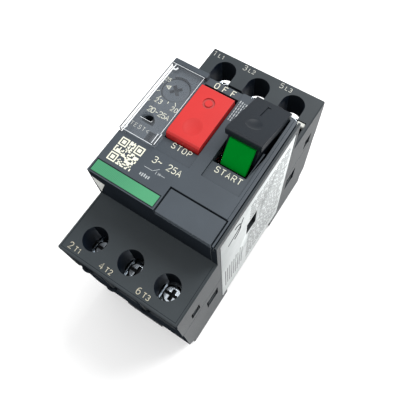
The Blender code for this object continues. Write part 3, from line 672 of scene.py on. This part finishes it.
def stop_ring_painted_shade():
    """The floor of the ring in the STOP rocker, in a darker red: painted shade in the ring's groove."""
    bm = bmesh.new()
    ring = Matrix.Translation(Vector((*STOP_RING_AT, STOP_TOP - 0.38)) * MM)
    outer = bmesh.ops.create_circle(bm, segments=36, radius=1.89 * MM, matrix=ring)["verts"]
    inner = bmesh.ops.create_circle(bm, segments=36, radius=1.21 * MM, matrix=ring)["verts"]
    edges = [e for e in bm.edges if e.verts[0] in outer or e.verts[0] in inner]
    bmesh.ops.bridge_loops(bm, edges=edges)
    keep("stop_ring_floor", bm, "stop_rocker", RING_SHADE)


def flap_rims():
    """The flap's polished edges: pale tubes over the lid, painted highlights where the edges catch the light,
    and grey ones where they stand clear of it.
    """
    x0, x1, y0, y1 = -22.02, -10.2, -6.9, 20.7
    foot, edge, under, top = FLAP_LOW + 0.1, FLAP_HIGH - 0.1, FLAP_HIGH - 0.3, FLAP_HIGH - 0.08
    rims = {
        "outer": ([(x0, y0, foot), (x0, y0, edge), (x0, y1, edge), (x0, y1, foot)], 0.21, EDGE),
        "foot": ([(x0, y0, foot), (x0, y1, foot)], 0.12, EDGE),
        "fold": ([(-20.6, y0 + 0.6, FLAP_HIGH - 0.15), (-20.6, y1 - 0.2, FLAP_HIGH - 0.15)], 0.14, RIM_PAINTED_HIGHLIGHT),
        "corner": ([(-21.7, y0 + 0.1, under), (-21.0, y0 + 0.3, FLAP_HIGH - 0.2),
                    (-20.8, y0 + 1.3, FLAP_HIGH - 0.2), (-21.5, y0 + 1.5, under)], 0.13, EDGE),
        "free": ([(x1, -2.6, top), (x1, y1, top), (x0, y1, top)], 0.08, RIM_PAINTED_HIGHLIGHT),
        "front": ([(x0, y0, top), (x1, y0, top)], 0.08, RIM_PAINTED_HIGHLIGHT),
        "catch_side": ([(x1 + 0.6, -2.8, FLAP_HIGH + 0.45), (x1 + 0.6, -6.7, FLAP_HIGH + 0.45)], 0.12, RIM_PAINTED_HIGHLIGHT),
        "catch_foot": ([(x1 - 0.5, -3.0, FLAP_HIGH + 0.1), (x1 - 0.5, -6.5, FLAP_HIGH + 0.1)], 0.10, RIM_PAINTED_HIGHLIGHT),
        "hole": ([(-18.85, -0.75, FLAP_HIGH - 0.05), (-18.75, -0.85, FLAP_HIGH - 0.05),
                  (-15.05, -0.85, FLAP_HIGH - 0.05), (-14.85, -0.3, FLAP_HIGH - 0.05)], 0.07, RIM_PAINTED_HIGHLIGHT),
        "knuckle_low": ([(-20.8, -6.5, under), (-20.5, -5.3, under)], 0.28, RIM_PAINTED_HIGHLIGHT),
        "knuckle_high": ([(-20.9, 18.6, under), (-19.6, 18.9, under), (-19.4, 19.7, under)], 0.28, RIM_PAINTED_HIGHLIGHT),
    }
    for name, (points, radius, look) in rims.items():
        tube(f"flap_rim_{name}", points, radius, "flap", look)


def trench_painted_highlight():
    """A small pale block at the right end of the line-side trench: a painted highlight for the light on a
    ledge there.
    """
    bm = bmesh.new()
    block(bm, (2.9, 1.7, 1.6), (19.4, 32.4, PLATE - 1.1))
    bmesh.ops.bevel(bm, geom=bm.edges, offset=0.2 * MM, segments=2, affect="EDGES")
    keep("trench_highlight_block", bm, "casing", PALE_PAINTED_HIGHLIGHT)


# ---------------------------------------------------------------- stage

def floor():
    """A plain white floor, just under the rear of the breaker."""
    bm = bmesh.new()
    bmesh.ops.create_grid(bm, x_segments=1, y_segments=1, size=1.5)
    mesh = bpy.data.meshes.new("floor")
    bm.to_mesh(mesh)
    bm.free()
    made = link(bpy.data.objects.new("floor", mesh))
    made.location.z = -0.0002
    look, _, _, shader = node_material("floor_white")
    shader.inputs["Base Color"].default_value = (0.92, 0.92, 0.92, 1.0)
    shader.inputs["Roughness"].default_value = 0.9
    set_material(made, look)


def area_light(name, place, target, size, power):
    lamp = bpy.data.lights.new(name, "AREA")
    lamp.shape = "DISK"
    lamp.size = size
    lamp.energy = power
    made = link(bpy.data.objects.new(name, lamp))
    made.location = place
    made.rotation_euler = (Vector(target) - Vector(place)).to_track_quat("-Z", "Y").to_euler()


def lights():
    """An even white surround, a key light from behind the line side and two weak ones."""
    world = bpy.data.worlds.new("studio")
    bpy.context.scene.world = world
    world.use_nodes = True
    background = world.node_tree.nodes["Background"].inputs
    background["Color"].default_value = (1.0, 1.0, 1.0, 1.0)
    background["Strength"].default_value = 0.66
    target = (0.0, 0.0, 0.04)
    area_light("key", (0.14, 0.36, 0.54), target, 0.42, 4.9)
    area_light("fill", (-0.60, -0.25, 0.40), target, 0.4, 1.2)
    area_light("above", (-0.06, -0.20, 0.68), target, 0.4, 1.6)


def camera():
    """Close above the load side, a little to the right, and turned eight degrees."""
    lens = bpy.data.cameras.new("camera")
    lens.lens = 42.05
    lens.sensor_width = 36.0
    lens.clip_start = 0.01
    made = link(bpy.data.objects.new("camera", lens))
    made.location = Vector((43.9, -51.7, 191.9)) * MM
    look_at = Vector((1.4, -2.7, 40.0)) * MM
    facing = (look_at - made.location).to_track_quat("-Z", "Y").to_matrix().to_4x4()
    roll = Matrix.Rotation(math.radians(-8.0), 4, "Z")
    made.rotation_euler = (facing @ roll).to_euler()
    bpy.context.scene.camera = made
    bpy.context.scene.view_settings.view_transform = "Standard"


cad_shapes()
front_print()
scale_ticks()
dial_pointer()
square_code()
circuit_symbol()
fine_print()
plate_seams()
end_eyes()
step_wall_painted_highlight()
terminal_marks()
label_print()
stop_ring_painted_shade()
flap_rims()
trench_painted_highlight()
floor()
lights()
camera()
